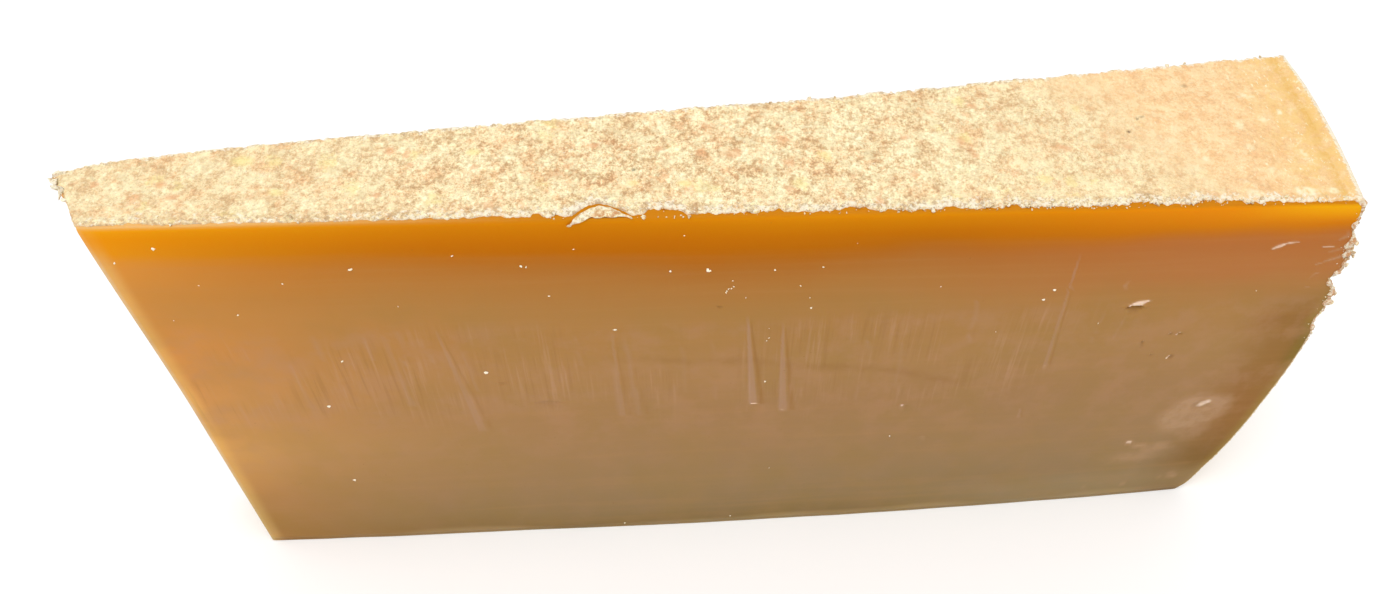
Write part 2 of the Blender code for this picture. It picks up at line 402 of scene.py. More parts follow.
def random_smears(rng, count, *x_range):
    """Fat smears for a face that has none of its own listed, in the same form."""
    forms = (1.5, 7), (0.4, 1.0), (-0.4, 0.4), (0.3, 0.9), (0.15, 0.4)
    rows = draws(rng, count, x_range, (6, 92), *forms)
    return [(x, z, wide, wide * tall, *form[::-1]) for x, z, wide, tall, *form in rows]


def mark_strength(x, z, marks):
    """How light each point is in a knife mark, or how dark the painted shade just beside one is,
    from 1 to -1. The light line along a mark's left edge is a painted highlight.
    """
    lightest, darkest = np.zeros_like(x), np.zeros_like(x)
    for top_x, top_z, low_x, low_z, width, strength in marks:
        share = (top_z - z) / (top_z - low_z)
        half_width = np.maximum(width * (0.2 + 0.8 * np.clip(share, 0, 1)), 0.3)
        away = (x - top_x - (low_x - top_x) * share) / half_width
        flat = 0.76 * ease(np.abs(away), 1.05, 0.6) + 0.24 * bell(away + 0.6, 0.3)
        shown = strength * window(share, -0.03, 0.12, 0.98, 1.02)
        lightest = np.maximum(lightest, shown * flat)
        darkest = np.maximum(darkest, shown * bell(away - 1.9, 0.7))
    return np.where(lightest > 0.2 * darkest, lightest, -darkest)


def stroke_strength(x, z, strokes):
    """How strongly short light strokes, pale streaks and painted highlights, show at each point,
    from 0 to 1.
    """
    strongest = np.zeros_like(x)
    for start_x, start_z, end_x, end_z, half_width, strength in strokes:
        run_x, run_z = end_x - start_x, end_z - start_z
        share = ((x - start_x) * run_x + (z - start_z) * run_z) / math.hypot(run_x, run_z) ** 2
        share = np.clip(share, 0, 1)
        away = np.hypot(x - start_x - run_x * share, z - start_z - run_z * share)
        taper = half_width * (0.55 + 0.45 * np.sin(np.pi * share))
        strongest = np.maximum(strongest, strength * ease(away / taper, 1.15, 0.3))
    return strongest


def eye_relief(x, z, eyes):
    """Height of the face at its small eyes, and how dark the painted shade in one is at each point.
    """
    height, dark = np.zeros_like(x), np.zeros_like(x)
    for middle_x, middle_z, half_width, half_height, depth, lip in eyes:
        above = (z - middle_z) / half_height
        reach = ((x - middle_x) / half_width) ** 2 + above**2
        pit = ease(reach, 1.1, 0.25)
        height -= depth * pit
        height += lip * bell(np.sqrt(reach) - 1.15, 0.35) * ease(above, -0.4, 0.6)
        dark = np.maximum(dark, pit * min(1.0, depth / 0.6))
    return height, dark


def smear_haze(over, above, half_width, half_height, strength, softness=0.8, lean=0.0):
    """How strongly one smear hazes points this far from its middle. lean is height for width."""
    reach = np.hypot(over / half_width, (above - lean * over) / half_height)
    return strength * ease(reach, 1.0, 1 - softness)


def smear_strength(x, z, smears, seed):
    """How strongly fat smears haze each point, from 0 to 1, with uneven edges."""
    place = points_at(x, 53.0 * seed, z)
    moved_x, moved_z = (
        1.5 * noise(place, 6.0, seed + i) + 0.6 * noise(place, 1.9, seed + i + 1) for i in (61, 63)
    )
    haze = np.zeros_like(x)
    for middle_x, middle_z, half_width, *form in smears:
        share = min(1.0, half_width / 5)
        over, above = x + moved_x * share - middle_x, z + moved_z * share - middle_z
        haze = np.maximum(haze, smear_haze(over, above, half_width, *form))
    return haze


def cut_face(x, z, seed, marks, eyes, smears, strokes=()):
    """Relief and marks of one cut face: height, knife marks, eyes and smears at each point."""
    place, flowing = points_at(x, 31.0 * seed, z), points_at(x, 17.0 * seed, z * 0.03)
    marked = mark_strength(x, z, marks)
    eye_height, dark = eye_relief(x, z, eyes)
    struck = stroke_strength(x, z, strokes)
    height = 0.22 * noise(place, 38, seed) + 0.06 * noise(place, 9, seed + 1)
    height += 0.018 * window(z, 36, 50, 68, 76) * noise(flowing, 1.3, seed + 2)
    height += eye_height - 0.10 * marked + 0.10 * struck
    haze = np.maximum(smear_strength(x, z, smears, seed), struck)
    # dark is the painted shade in eyes, and haze holds the smears and the strokes' painted
    # highlights
    return height, marked, dark * (1 - 0.8 * struck), haze


def front_face(x, z):
    """The front's relief and marks at each point."""
    return cut_face(x, z, 1, FRONT_MARKS, FRONT_EYES, FRONT_SMEARS, FRONT_STREAKS_AND_GLINTS)


# --- Meshes ---


def grid_faces(rows, columns, joined=False):
    """The quads of a grid of points, joined round from its last column to its first if asked."""
    index = np.arange(rows * columns).reshape(rows, columns)
    if joined:
        index = np.hstack([index, index[:, :1]])
    corners = (index[:-1, :-1], index[1:, :-1], index[1:, 1:], index[:-1, 1:])
    return np.stack(corners, axis=-1).reshape(-1, 4).tolist()


def tube_faces(rows, columns):
    """The faces of a tube of points, which closes round its columns and has a cap at both ends."""
    last = (rows - 1) * columns
    caps = [list(range(columns)), list(range(last, last + columns))[::-1]]
    return grid_faces(rows, columns, joined=True) + caps


def new_piece(name, points, faces, material, numbers=None):
    """A smooth mesh piece of the wedge, with its finish and the numbers that the finish reads."""
    mesh = bpy.data.meshes.new(name)
    mesh.from_pydata(((points + CORNER) * MM).reshape(-1, 3).tolist(), [], faces)
    for key, values in (numbers or {}).items():
        stored = mesh.attributes.new(key, "FLOAT", "POINT")
        values = np.broadcast_to(values, points.shape[:-1])
        stored.data.foreach_set("value", values.ravel().astype(np.float32))
    mesh.shade_smooth()
    mesh.materials.append(material)
    piece = bpy.data.objects.new(name, mesh)
    bpy.context.scene.collection.objects.link(piece)
    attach(piece, "root")
    return piece


def walk_at(x, z):
    """How far along the front's walk from the tip's cut to the rim a place on it lies."""
    start = tip_x(0.0, z)
    return float(FRONT_LENGTH * (x - start) / (rim_x(0.0, z) - start))


def around_the_wedge():
    """Shares along and across the wedge for a walk round it, from mid tip past the front."""
    ends = [sorted((walk_at(*m[:2]), walk_at(*m[2:4]))) for m in FRONT_MARKS if m[5] > FINE_MARK]
    spans = [(-1.0, 1.0), (FINE_FROM, FRONT_LENGTH)]
    spans += [(low - 0.5, high + 0.5) for low, high in ends]
    spans += [span(walk_at(*e[:2]), 1.3 * e[2]) for e in FRONT_EYES if e[4] > FINE_EYE]
    front = graded(0, FRONT_LENGTH, FRONT_STEP, FRONT_FINE_STEP, spans)
    tip = graded(0, TIP_DEPTH / 2, TIP_STEP, 0.2, [(0, 0.8)])
    rim = FRONT_LENGTH + graded(0, RIM_DEPTH, RIM_STEP)
    back = graded(0, FRONT_LENGTH, BACK_STEP, 0.3, [(FRONT_LENGTH - 0.8, FRONT_LENGTH)])
    stretches = (-tip[:0:-1], front[:-1], rim[:-1], BACK_START + back[:-1], BACK_END + tip[:-1])
    walk = np.concatenate(stretches)

    def past(place):
        return soft_ramp(walk - place, CUT_ROUND)

    along = past(0) - past(FRONT_LENGTH) - past(BACK_START) + past(BACK_END)
    across = (soft_ramp(-walk, CUT_ROUND) - past(BACK_END)) / TIP_DEPTH
    across += (past(FRONT_LENGTH) - past(BACK_START)) / RIM_DEPTH
    return along / FRONT_LENGTH, across, walk


def rows_down():
    """Depths of the paste's rows below the plain top, closer together at eyes and strokes."""
    spans = [(0, 1.5)] + [span(HEIGHT - e[1], 1.2 * e[3]) for e in FRONT_EYES]
    for _, start_z, _, end_z, half_width, strength in FRONT_STREAKS_AND_GLINTS:
        if strength > FINE_STROKE:
            reach = abs(start_z - end_z) / 2 + half_width
            spans.append(span(HEIGHT - (start_z + end_z) / 2, reach))
    return graded(TOP_INSET, HEIGHT - FOOT_INSET, ROW_STEP, ROW_FINE_STEP, spans)


def cut_faces(walk, x, y, z):
    """Relief and marks all round the paste, as cut_face gives them."""
    rng = np.random.default_rng(SEED)
    on_front = window(walk, 0.2, 1.2, FRONT_LENGTH - 1, FRONT_LENGTH)
    on_back = window(walk, BACK_START, BACK_START + 1, BACK_END - 1, BACK_END)
    on_tip = ease(walk, 0, -1) + ease(walk, walk[-1] - 6.5, walk[-1] - 5.5)
    rows = draws(rng, 14, (20, 190), (62, 90), (14, 32), (0.3, 0.6), (0.15, 0.6))
    back_marks = [(x, top, x - 0.06 * drop, top - drop, *form) for x, top, drop, *form in rows]
    back_eyes, back_smears = random_eyes(rng, 12, 15, 195), random_smears(rng, 12, 10, 200)
    tip_eyes, tip_smears = random_eyes(rng, 2, 3, 11), random_smears(rng, 3, 2, 12)
    faces = (
        (on_front, front_face(x, z)),
        (on_back, cut_face(x, z, 2, back_marks, back_eyes, back_smears)),
        (on_tip, cut_face(y, z, 3, (), tip_eyes, tip_smears)),
    )
    return [sum(share * result[i] for share, result in faces) for i in range(4)]


def colour_level(x, below):
    """Depth below the rind for the paste's colour: the orange band, partly a painted glow, is
    thinner at both ends.
    """
    stretch = 0.62 + 0.38 * bell(x - 80, 62)
    return below * (1 + (1 / stretch - 1) * np.exp(-below / 18))


def ledge_rings(ring):
    """Rings of the paste's uneven flat top, from its middle out to its own uppermost ring."""
    middle = ring.copy()
    middle[:, 0], middle[:, 1] = FRONT_LENGTH / 2, depth_at(ring[:, 0]) / 2
    shares = np.array([(1 - 0.12 * (1 - share), share, 1.0) for share in LEDGE_SHARES])
    rings = middle + (ring - middle) * shares[:, None]
    rings[..., 2] += 0.07 * noise(rings, 0.9, 16) + 0.05 * noise(rings, 3.0, 17)
    return rings


def build_paste(material):
    """The wedge's paste: its cut front, back and tip, closed under the rind."""
    along, across, walk = around_the_wedge()
    z = HEIGHT - rows_down()[:, None] + 0 * walk
    x = length_place(along, across, z) - rounded_off(along, z)
    y = depth_at(x) * across - belly(x, across, z) - drawn_in(x, across, z)
    grid = points_at(x, y, z)
    height, marked, dark, haze = cut_faces(walk, x, y, z)
    height -= 0.16 * bell(LEDGE - z, 0.5) * (1 + layered_noise(grid, 2.4, 15))
    grid += outward(grid) * height[..., None]

    numbers = {
        "marked": marked,
        "dark": dark,
        "haze": haze,
        "ledge": bell(LEDGE - z, 0.35),
        "from_tip": x - tip_x(across, z),
        "under_rind": colour_level(x, HEIGHT - z),
        "from_rim": rim_x(across, z) - x,
    }
    rings = len(LEDGE_SHARES)
    numbers = {key: np.pad(values, ((rings, 0), (0, 0)), "edge") for key, values in numbers.items()}
    for key, on_ledge in (("marked", 0), ("dark", 0), ("ledge", 1)):
        numbers[key][:rings] = on_ledge
    points = np.concatenate([ledge_rings(grid[0]), grid])
    faces = tube_faces(*points.shape[:2])
    return new_piece("cheese_paste", points, faces, material, numbers)


def flake_arch(x):
    """How far behind the front edge the arched crack round the lifted flake runs."""
    half = np.where(x < FLAKE_TOP, FLAKE_TOP - FLAKE_LEFT, FLAKE_RIGHT - FLAKE_TOP)
    share = np.abs(x - FLAKE_TOP) / half
    arch = FLAKE_REACH * np.clip(1 - share**1.7, 0, 1)
    wander = 0.22 * noise(points_at(x, 0, 0), 1.5, 71) + 0.1 * noise(points_at(x, 0, 0), 0.6, 72)
    return np.where(share < 1, arch + wander * np.clip(arch, 0, 1), -9.0)


def setback(x):
    """How far behind the front edge the upper rind begins, where below 0 it hangs over."""
    line = points_at(x, 0, 0)
    back = 0.50 + 0.46 * layered_noise(line, 4.6, 3) + 0.46 * noise(line, 1.3, 8)
    back += 0.30 * noise(line, 0.62, 9)
    for middle, half_width, reach in NOTCHES:
        away = np.abs(x - middle) + 0.7 * noise(line, 1.1, 10)
        back += reach * ease(away, half_width, 0.45 * half_width)
    back *= (0.6 + 0.4 * ease(x, 35, 75)) * (1 - 0.7 * bell(x - FLAKE_TOP, 4.5))
    return np.maximum(np.maximum(back, flake_arch(x)), -0.45)


def back_bumps(x):
    """Rounded lumps along the upper rind's back edge, from 0 to about 1."""
    line = points_at(x, 3, 0)
    lumps = ease(grains(line, 5.2, 51), 0.15, 0.75)
    share = 0.35 + 0.65 * ease(x, 55, 110) * (1 - 0.8 * ease(x, 165, 180))
    return share * lumps + 0.3 * (grains(line, 1.6, 52) - 0.4)


def rind_grid():
    """The rind's points, where its pieces meet, and where on the rind each point lies.

    The walk runs over the top, down the rim and back under the wedge."""
    flake_span = [(FLAKE_LEFT - 0.5, FLAKE_RIGHT + 0.5)]
    top = graded(-RIND_WRAP, FRONT_LENGTH + 0.8, RIND_STEP, RIND_FINE_STEP, flake_span)
    rim = graded(FRONT_LENGTH + 0.8, FOOT_START + 2, RIND_RIM_STEP)
    end = FOOT_END + RIND_WRAP
    foot = graded(FOOT_START + 2, end, RIND_FOOT_STEP, 0.4, [(FOOT_END - 1, end)])
    seams = len(top), len(top) + len(rim) - 1
    walk = np.concatenate([top, rim[1:], foot[1:]])[:, None]
    share = np.linspace(0, 1, RIND_ROWS)
    share = share - 0.35 * np.sin(2 * np.pi * share) / (2 * np.pi)

    def ragged(row, coarse, fine):
        line = points_at(walk, row, 0)
        return coarse * layered_noise(line, 3.2, 3) + fine * noise(line, 0.8, 8)

    on_top = ease(walk, FRONT_LENGTH + 0.5, FRONT_LENGTH - 1.5)
    on_foot = ease(walk, FOOT_START - 3, FOOT_START)
    uneven_z = LEDGE - (walk - FRONT_LENGTH) + ragged(9, 0.4, 0.5)
    torn = sum(reach * bell(uneven_z - z, half) for z, half, reach in RIM_TEARS)
    rim_border = -0.16 - ragged(5, 0.10, 0.12) - torn
    start = setback(walk) * on_top + rim_border * (1 - on_top)
    start = start * (1 - on_foot) - 0.12 * on_foot
    fringe = (0.2 + ragged(4, 0.5, 0.45)) * (1 - 0.6 * on_foot) + 0.1 * on_foot
    tip_shift = 0.45 * layered_noise(points_at(share * 20, 9, 0), 2.2, 3, 2) - 0.4
    near_start = np.clip(1 - (walk + RIND_WRAP) / 8, 0, 1)
    near_end = np.clip(1 - (end - walk) / 8, 0, 1)
    walk = walk + tip_shift * (near_start - near_end)

    plain_x = np.clip(walk, 0, FRONT_LENGTH) - np.clip(walk - FOOT_START, 0, FRONT_LENGTH)
    depth = depth_at(plain_x + 0.8 * RIM_BULGE * (1 - on_top) * (1 - on_foot))
    reach = start + (depth + fringe - start) * share
    past_back = soft_ramp(reach - depth, CUT_ROUND)
    y = soft_ramp(reach, CUT_ROUND) - past_back
    wrapped = soft_ramp(-reach, CUT_ROUND) + past_back
    across = y / depth

    def section(place):
        """X and Z of the plain form at a place on the walk."""
        past_top = soft_ramp(place - FRONT_LENGTH, RIM_TOP_ROUND)
        past_rim = soft_ramp(place - FOOT_START, RIM_FOOT_ROUND)
        past_foot = soft_ramp(place - FOOT_END, TIP_ROUND)
        along = (soft_ramp(place, TIP_ROUND) - past_top - past_rim + past_foot) / FRONT_LENGTH
        height = LEDGE - (soft_ramp(-place, TIP_ROUND) + past_top - past_rim - past_foot)
        return length_place(along, across, height), height

    x, z = section(walk)
    ahead_x, ahead_z = section(walk + 0.05)
    run_x, run_z = ahead_x - x, ahead_z - z
    run = np.hypot(run_x, run_z)
    x, z = x + wrapped * run_z / run, z - wrapped * run_x / run
    grid = points_at(x, y - belly(x, across, z) - drawn_in(x, across, z), z)
    from_ends = np.minimum(walk + RIND_WRAP, end - walk)
    places = (walk, on_top, on_foot, reach, reach - start, depth + fringe - reach, from_ends)
    return grid, seams, np.broadcast_arrays(*places)


def rind_surface():
    """The rind's shaped points, where its pieces meet, and the numbers that its finish reads."""
    grid, seams, places = rind_grid()
    walk, on_top, on_foot, reach, from_front, from_back, from_ends = places
    on_rim = (1 - on_top) * (1 - on_foot)
    waxy_place = walk + WAXY_SLANT * grid[..., 1] + 6 * noise(grid, 9, 21)
    rim_waxy = on_rim * (1 - 0.45 * ease(walk, FRONT_LENGTH + 2, FRONT_LENGTH + 8))
    waxy = np.maximum(ease(waxy_place, WAXY_FROM, WAXY_TO) * on_top, rim_waxy)
    rough_share = 1 - 0.88 * waxy

    moved = grid + 0.5 * points_at(noise(grid, 1.7, 38), noise(grid, 1.7, 39), 0.0)
    coarse, fine = grains(moved, 1.3, 32) - 0.5, grains(moved, 0.62, 33) - 0.5
    creases = ease(noise(grid, 6.0, 35), -0.35, 0.25)
    creases *= ease(np.abs(noise(moved, 2.1, 34)), 0.13, 0.02)
    rough = 0.50 + 0.18 * layered_noise(grid, 4.0, 31, 2)
    rough += 0.32 * coarse + 0.34 * fine - 0.12 * creases
    calm = 0.5 + 0.26 * noise(grid, 5.0, 36) + 0.14 * noise(grid, 1.4, 37)
    relief = rough * rough_share + calm * (1 - rough_share)
    height = 0.10 + 0.36 * np.clip(relief, 0, 1.3) * (0.4 + 0.6 * rough_share) + 0.10 * waxy
    height += 0.40 * back_bumps(walk) * bell(from_back - 0.6, 1.3) * on_top
    rim_edge = on_rim * ease(reach, 1.8, 0.0)
    rim_edge *= 0.25 + 0.75 * ease(grid[..., 2], 48, 72)
    height += rim_edge * (0.22 + 0.36 * coarse + 0.50 * noise(grid, 0.8, 45) + 0.3 * fine)
    fringe = on_top * ease(from_front, 1.8, 0.5)
    height += fringe * (0.08 + 0.40 * noise(grid, 1.1, 46) + 0.36 * fine)
    from_line = FRONT_LENGTH - RIM_LINE_FROM_EDGE - walk + 0.5 * noise(grid, 9, 41)
    rim_line = (0.65 * bell(from_line, 1.1) + 0.35 * bell(from_line + 0.6, 0.25)) * on_top
    lip = bell(walk - FRONT_LENGTH + 0.3, 1.6) * (1 - 0.8 * ease(grid[..., 1], 30, 40))
    height += 0.55 * lip - 0.10 * rim_line
    border = ease(np.minimum(np.minimum(from_front, from_back), from_ends), 0.0, 0.38)
    height = (height * border - 0.32 * (1 - border)) * (1 - 0.6 * on_foot)
    grid = grid + outward(grid) * height[..., None]
    grid[..., 2] = np.maximum(grid[..., 2], 0.02)

    along_edge = 0.55 + 0.45 * layered_noise(points_at(walk, 6, 0), 9.0, 43)
    white_share = along_edge * (0.55 + 0.45 * ease(walk, 25, 70))
    front_edge = ease(from_front + 0.9 * noise(grid, 1.7, 42), 3.6, 0.2)
    back_edge = ease(from_back + 0.5 * noise(grid, 1.8, 44), 1.6, 0.2)
    # A painted highlight along the rounded corner over the rim, whitened as the broken edges are
    corner_highlight = bell(walk - FRONT_LENGTH + 0.4, 0.5) * (1 - on_foot)
    front_edge = front_edge * np.clip(white_share, 0, 1)
    edges = (front_edge, 0.6 * back_edge, 0.8 * corner_highlight, 0.8 * rim_edge)
    numbers = {
        "relief": relief,
        "creases": creases * rough_share,
        "waxy": waxy,
        "edge": np.max(edges, axis=0),
        "rim_line": rim_line,
        "rim_edge": rim_edge,
        "from_tip": np.clip(grid[..., 0], 0, None),
    }
    for key, spots in RIND_SPOTS.items():
        numbers[key] = smear_strength(grid[..., 0], grid[..., 1], spots, 5) * on_top
    numbers["scuffed"] *= np.clip(0.8 + 1.8 * noise(grid, 0.8, 47), 0, 1)
    return grid, seams, numbers


def build_rind(material):
    """The rind over the top, the rim and the foot, as three pieces that share their seams."""
    grid, (top_seam, foot_seam), numbers = rind_surface()
    spans = (0, top_seam), (top_seam - 1, foot_seam), (foot_seam - 1, len(grid))
    pieces = []
    for name, (start, stop) in zip(("rind_top", "rind_rim", "rind_foot"), spans):
        part = grid[start:stop]
        own_numbers = {key: values[start:stop] for key, values in numbers.items()}
        faces = grid_faces(*part.shape[:2])
        pieces.append(new_piece(name, part, faces, material, own_numbers))
    return pieces


def build_flake(material):
    """The chip of rind that has lifted from the front edge, as a closed shell."""
    along = np.linspace(0, 1, 110)[:, None]
    turn = np.linspace(0, 2 * np.pi, 44, endpoint=False)
    arched = np.sin(np.pi * along)
    left, right = FLAKE_LEFT - 0.7, FLAKE_RIGHT - 0.2
    x = left + (right - left) * along
    arch = np.maximum(flake_arch(x), -0.3 + 0.2 * ease(x, left, FLAKE_LEFT + 1))
    upper = arch - CRACK_WIDTH - 0.12 * noise(points_at(x, 22, 0), 0.9, 70)
    lower = -0.95 + ease(along, 0.0, 0.45) + 0.25 * ease(along, 0.75, 1.0)
    lower += 0.16 * noise(points_at(x, 21, 0), 1.4, 73) * arched
    pinch = np.sin(np.pi * np.clip(along, 0.004, 0.996)) ** 0.5
    half = np.maximum(0.5 * (upper - lower), 0.2) * np.clip(12 * arched, 0.05, 1)
    y = 0.5 * (upper + lower) + half * np.cos(turn)
    thick = (0.16 + 0.20 * ease(upper - lower, 0.3, 2.2)) * pinch
    z = LEDGE + 0.26 + 0.10 * arched + thick * np.sin(turn)
    z -= 1.5 * soft_ramp(-y - 0.1, 0.2)
    y = np.maximum(y, -0.42)
    grid = points_at(length_place(x / FRONT_LENGTH, 0.0, z), y, z)
    uneven = [0.20 * noise(grid, 1.2, 74 + i) + 0.12 * noise(grid, 0.5, 78 + i) for i in range(3)]
    grid += np.stack(uneven, axis=-1) * pinch[..., None] * (0.4, 0.4, 1.0)
    faces = [face[::-1] for face in tube_faces(*grid.shape[:2])]
    inner = window(along, 0.36, 0.5, 0.74, 0.9) * window(y, -0.4, 0.1, 0.9, 1.6)
    numbers = {"relief": 0.75, "edge": 0.3 * (1 - inner), "rim_edge": inner, "from_tip": x}
    return new_piece("rind_flake", grid, faces, material, numbers)


def unit_ball():
    """Points and faces of an even ball with a radius of 1."""
    mesh = bmesh.new()
    bmesh.ops.create_icosphere(mesh, subdivisions=3, radius=1.0)
    points = np.array([v.co[:] for v in mesh.verts])
    faces = np.array([[v.index for v in face.verts] for face in mesh.faces])
    mesh.free()
    return points, faces


def chips_mesh(rng, places, cuts):
    """Points and faces of angular chips. places gives each one's x, y, z and radius."""
    ball, faces = unit_ball()
    all_points, all_faces = [], []
    for i, (x, y, z, radius) in enumerate(places):
        spot = ball + rng.uniform(-60, 60, 3)
        chip = ball * (1.1 + 0.5 * noise(spot, 0.9, 91))[:, None]
        for _ in range(cuts):
            facing = rng.normal(size=3)
            facing /= np.linalg.norm(facing)
            past = np.maximum(chip @ facing - rng.uniform(0.25, 0.8), 0.0)
            chip = chip - past[:, None] * facing
        chip = chip + 0.05 * noise(spot * 4, 1.0, 92)[:, None] * ball
        turn = np.linalg.qr(rng.normal(size=(3, 3)))[0]
        turn *= np.sign(np.linalg.det(turn))
        chip = (chip * rng.uniform(0.6, 1.5, 3)) @ turn.T * radius
        all_points.append(chip + np.array((x, y, z)))
        all_faces.append(faces + i * len(ball))
    return np.concatenate(all_points), np.concatenate(all_faces).tolist()


def crumb_places(rng):
    """Places and radii of the loose crumbs of rind: x, y, z, radius."""
    places = []

    def rind_start(x):
        return float(setback(np.array([x]))[0])

    clusters = np.concatenate([rng.uniform(0, FRONT_LENGTH, 14), rng.triangular(60, 180, 207, 30)])
    for i in range(CLUSTERED_CRUMBS):
        x = float(np.clip(clusters[i % len(clusters)] + rng.normal(0, 1.8), 0, FRONT_LENGTH - 0.5))
        radius = 0.13 + 0.45 * rng.random() ** 2.6
        y = max(rind_start(x) + rng.uniform(-0.1, 1.4), 0.3 * radius)
        if abs(x - FLAKE_TOP) > 5:
            places.append((x, y, LEDGE + rng.uniform(0.14, 0.34), radius))
    for _ in range(SMALL_CRUMBS):
        x, radius = rng.triangular(30, 150, FRONT_LENGTH), rng.uniform(0.07, 0.16)
        back = rind_start(x)
        if abs(x - FLAKE_TOP) > 5 and back > 0.3:
            places.append((x, rng.uniform(0.1, back), LEDGE + 0.3 * radius, radius))
    places += [(x, 0.1, LEDGE, radius) for x, radius in NOTCH_CRUMBS]
    for z, out, radius in RIM_CRUMBS:
        places.append((rim_x(0.0, z) + out, 0.1 + rng.uniform(-0.1, 0.4), z, radius))
    for _ in range(RIM_SCATTER):
        z = rng.triangular(56, 86, 98)
        inward = abs(rng.normal(0, 0.9)) - 0.5
        radius = rng.uniform(0.08, 0.24) / (1 + 0.3 * abs(inward))
        places.append((rim_x(0.0, z) - inward, 0.12 - 0.1 * min(inward, 2), z, radius))
    for x, y, radius in TIP_CRUMBS:
        places.append((x, y, LEDGE + rng.uniform(-0.2, 0.2), radius))
    for _ in range(BACK_CRUMBS):
        x = rng.uniform(0, FRONT_LENGTH)
        y = depth_at(x) - drawn_in(x, 1.0, LEDGE) + rng.uniform(0, 0.4)
        places.append((x, y, LEDGE + 0.2, rng.uniform(0.14, 0.40)))
    return places


def build_crumbs(material):
    """Loose crumbs of rind along its broken edges, joined in one mesh."""
    rng = np.random.default_rng(SEED + 1)
    points, faces = chips_mesh(rng, crumb_places(rng), 7)
    x = points[:, 0]
    numbers = {"relief": 0.6, "edge": np.where(x < 0, 0.85, 0.35), "from_tip": x}
    return new_piece("rind_crumbs", points, faces, material, numbers)


def build_crystals(material):
    """Pale crystals that are bedded in the cut faces, joined in one mesh."""
    rng = np.random.default_rng(SEED + 2)
    places = []
    for x, z, radius in FRONT_CRYSTALS:
        height = front_face(np.array([x]), np.array([z]))[0][0]
        places.append((x, 0.2 * radius - height - belly(x, 0.0, z), z, radius))
    for _ in range(BACK_CRYSTALS):
        x, z = rng.uniform(8, 200), rng.uniform(45, 95)
        radius = rng.uniform(0.14, 0.32)
        places.append((x, depth_at(x) - drawn_in(x, 1.0, z), z, radius))
    for _ in range(TIP_CRYSTALS):
        y, z = rng.uniform(2, 12), rng.uniform(30, 92)
        places.append((tip_x(y / TIP_DEPTH, z) + 0.05, y, z, rng.uniform(0.16, 0.34)))
    points, faces = chips_mesh(rng, places, 3)
    return new_piece("crystals", points, faces, material)


# --- Finishes ---

# How much light the front face and the rind get, which their colours allow for
FRONT_LIGHT = 1.15
TOP_LIGHT = 1.25

# The colours of the dry rind and of the waxy rind, at these levels of the mottle
MOTTLE_LEVELS = (0.06, 0.2, 0.36, 0.5, 0.64, 0.8, 0.96)
ROUGH_COLOURS = (
    (212, 171, 124), (228, 192, 145), (240, 211, 163), (248, 224, 178), (254, 234, 187),
    (255, 243, 198), (255, 251, 211),
)
WAXY_COLOURS = (
    (237, 190, 138), (244, 199, 147), (249, 206, 153), (252, 211, 158), (254, 215, 163),
    (255, 223, 172), (255, 236, 187),
)

# The paste's colour on the way down from the rind, whose orange top is partly a painted glow of
# light that shines in through the rind, and whose lightening at the very foot is painted light
# from the floor: millimetres below it, colour
PASTE_BANDS = (
    (0.0, (226, 146, 12)), (1.5, (220, 136, 2)), (3.0, (211, 127, 0)), (6.0, (198, 113, 0)),
    (8.4, (189, 107, 3)), (11.0, (181, 107, 28)), (13.8, (178, 113, 46)), (18.0, (178, 121, 59)),
    (25.0, (175, 127, 70)), (42.0, (172, 130, 81)), (56.0, (165, 126, 84)), (72.0, (160, 126, 86)),
    (83.0, (154, 125, 87)), (92.0, (147, 121, 83)), (97.5, (138, 113, 71)), (99.3, (168, 142, 98)),
)
# The same at the tip's end, with a painted glow where the light shines through
TIP_BANDS = (
    (0.0, (247, 168, 16)), (4.0, (243, 151, 1)), (8.3, (238, 152, 18)), (12.2, (227, 149, 60)),
    (19.6, (213, 143, 64)), (33.0, (219, 146, 72)), (47.0, (219, 152, 84)), (64.0, (216, 158, 88)),
    (82.0, (186, 132, 73)), (93.0, (171, 122, 63)), (99.5, (167, 119, 60)),
)


def shade(colour, light):
    """A colour that looks like these 0 to 255 values where it gets this much light."""
    channels = []
    for value in colour:
        value /= 255
        linear = value / 12.92 if value <= 0.04045 else ((value + 0.055) / 1.055) ** 2.4
        channels.append(min(0.95, linear / light))
    return (*channels, 1.0)


